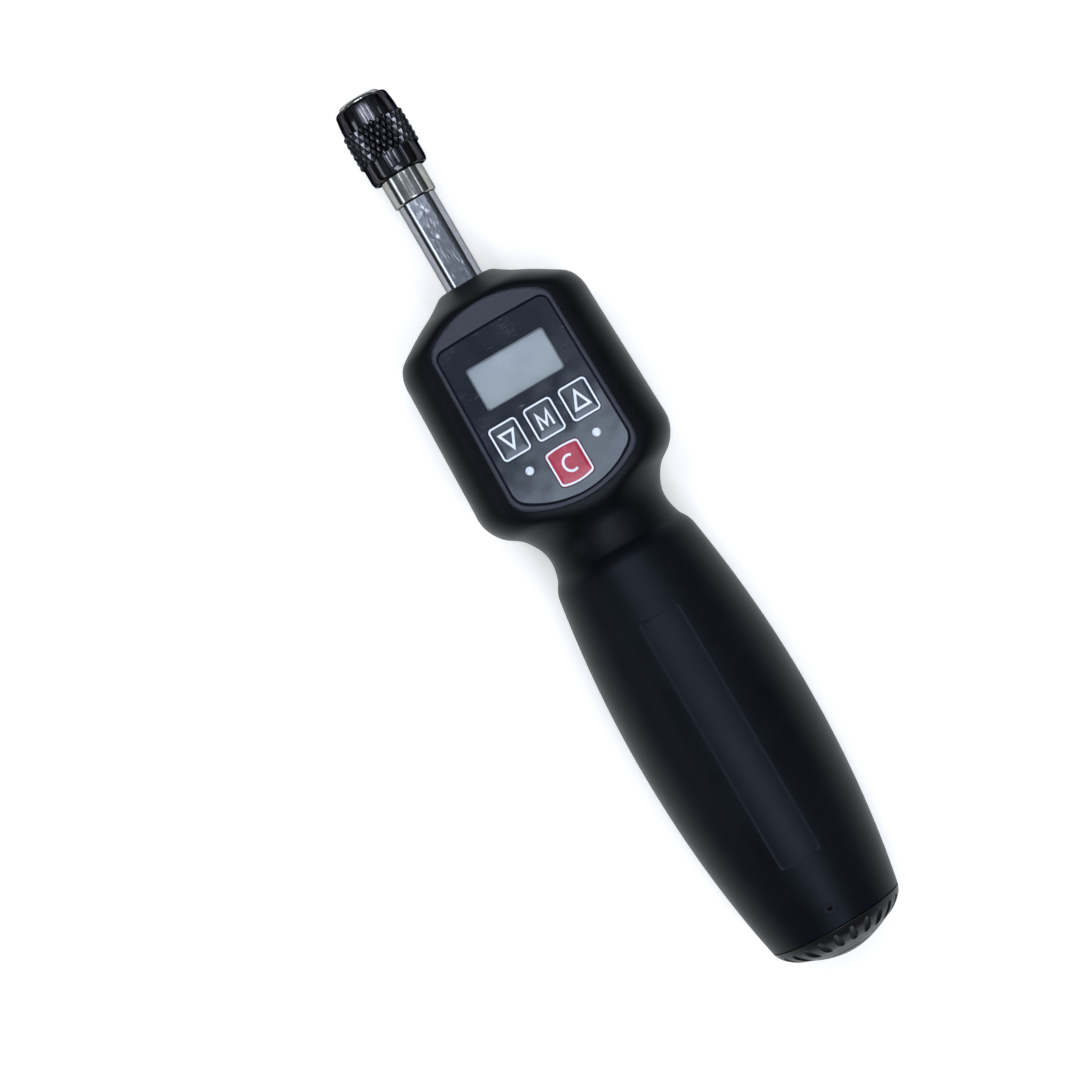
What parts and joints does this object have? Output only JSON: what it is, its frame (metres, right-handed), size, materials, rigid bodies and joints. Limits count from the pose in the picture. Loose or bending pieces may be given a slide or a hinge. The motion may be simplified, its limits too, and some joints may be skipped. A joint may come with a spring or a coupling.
{
  "type": "torque tester",
  "caption": "Hand-held battery torque tester: barrel grip, flared head with display and keys, steel shaft and a quick-release hex bit chuck.",
  "frame": {"origin": "centre of the bit socket's mouth, on the drive axis", "axes": "+Y along the drive axis, out of the bit socket; +Z out of the display; +X to the right of the display. The tester lies on its back."},
  "size_m": [0.0492, 0.2239, 0.0422],
  "materials": {
    "chrome_chuck": "polished, slightly brushed round",
    "black_oxide": "glossy black oxide",
    "spring_steel": "satin",
    "polished_steel": "ground and polished, fine scratches on the flats",
    "magnet": "nickel plated",
    "seal_rubber": "matt",
    "bush_bronze": "sintered, oiled",
    "soft_black": "soft-touch, satin",
    "black_screws": "black zinc",
    "bezel_plastic": "fine texture",
    "panel_gloss": "glossy, lightly scratched",
    "lcd_clear": "clear, glossy",
    "lcd_glass": "grey reflective display, blank",
    "white_plastic": "plain",
    "key_black": "embossed film, pale legends",
    "key_red": "embossed film, pale legend",
    "switch_plastic": "plain",
    "light_pipe": "milky",
    "board_green": "solder resist",
    "sensor_steel": "ground",
    "gauge_film": "polyimide film",
    "lead_white": "plain",
    "lead_red": "plain",
    "core_plastic": "fine spark texture",
    "grip_rubber": "soft-touch, satin",
    "cell_wrap": "shrink wrap",
    "jack_plastic": "plain",
    "cap_plastic": "satin"
  },
  "bodies": {
    "tester": {"chuck_body": "chrome_chuck", "sleeve_spring": "spring_steel", "sleeve_stop_ring": "spring_steel", "spring_seat_ring": "spring_steel", "bit_magnet": "magnet", "chuck_pin": "polished_steel", "output_shaft": "polished_steel", "shaft_seal": "seal_rubber", "nose_bush": "bush_bronze", "head_front_cover": "soft_black", "head_back_cover": "soft_black", "head_screws": "black_screws", "bezel": "bezel_plastic", "front_panel": "panel_gloss", "lcd_window": "lcd_clear", "lcd_module": "lcd_glass", "lcd_backlight": "white_plastic", "key_switches": "switch_plastic", "light_pipes": "light_pipe", "status_leds": "white_plastic", "main_board": "board_green", "board_screws": "spring_steel", "controller_chip": "switch_plastic", "buzzer": "switch_plastic", "torque_sensor": "sensor_steel", "strain_gauges": "gauge_film", "sensor_pin": "polished_steel", "sensor_screws": "black_screws", "sensor_leads": "lead_white", "handle_core": "core_plastic", "grip_sleeve": "grip_rubber", "battery_cradle": "white_plastic", "battery": "cell_wrap", "front_contact": "spring_steel", "rear_contact_spring": "spring_steel", "battery_leads": "lead_red", "rear_bulkhead": "core_plastic", "bulkhead_screws": "spring_steel", "bulkhead_set_screw": "black_screws", "charge_board": "board_green", "charge_jack": "jack_plastic"},
    "sleeve": {"chuck_sleeve": "black_oxide"},
    "ball": {"locking_ball": "polished_steel"},
    "down_key": {"down_key": "key_black"},
    "mode_key": {"mode_key": "key_black"},
    "up_key": {"up_key": "key_black"},
    "clear_key": {"clear_key": "key_red"},
    "cap_seal": {"cap_o_ring": "seal_rubber"},
    "cap": {"end_cap": "cap_plastic"}
  },
  "joints": [
    {"name": "sleeve_pull", "type": "slide", "parent": "tester", "child": "sleeve", "axis": [0, -1, 0], "range_m": [0, 0.003], "stiffness_N_per_m": 600, "springref_m": -0.003, "deforming": ["sleeve_spring"]},
    {"name": "ball_lift", "type": "slide", "parent": "tester", "child": "ball", "axis": [0, 0, 1], "range_m": [0, 0.00075]},
    {"name": "down_press", "type": "slide", "parent": "tester", "child": "down_key", "axis": [0, 0, -1], "range_m": [0, 0.0003], "stiffness_N_per_m": 800, "springref_m": -0.0002},
    {"name": "mode_press", "type": "slide", "parent": "tester", "child": "mode_key", "axis": [0, 0, -1], "range_m": [0, 0.0003], "stiffness_N_per_m": 800, "springref_m": -0.0002},
    {"name": "up_press", "type": "slide", "parent": "tester", "child": "up_key", "axis": [0, 0, -1], "range_m": [0, 0.0003], "stiffness_N_per_m": 800, "springref_m": -0.0002},
    {"name": "clear_press", "type": "slide", "parent": "tester", "child": "clear_key", "axis": [0, 0, -1], "range_m": [0, 0.0003], "stiffness_N_per_m": 800, "springref_m": -0.0002},
    {"name": "cap_out", "type": "slide", "parent": "tester", "child": "cap_seal", "axis": [0, -1, 0], "range_m": [0, 0.006]},
    {"name": "cap_turn", "type": "hinge", "parent": "cap_seal", "child": "cap", "pos_m": [0, -0.216, 0], "axis": [0, -1, 0], "range_deg": [0, 1440]}
  ],
  "couplings": [
    {"joint": "ball_lift", "follows": "sleeve_pull", "ratio": 0.25},
    {"joint": "cap_out", "follows": "cap_turn", "m_per_rad": 0.00023873}
  ]
}
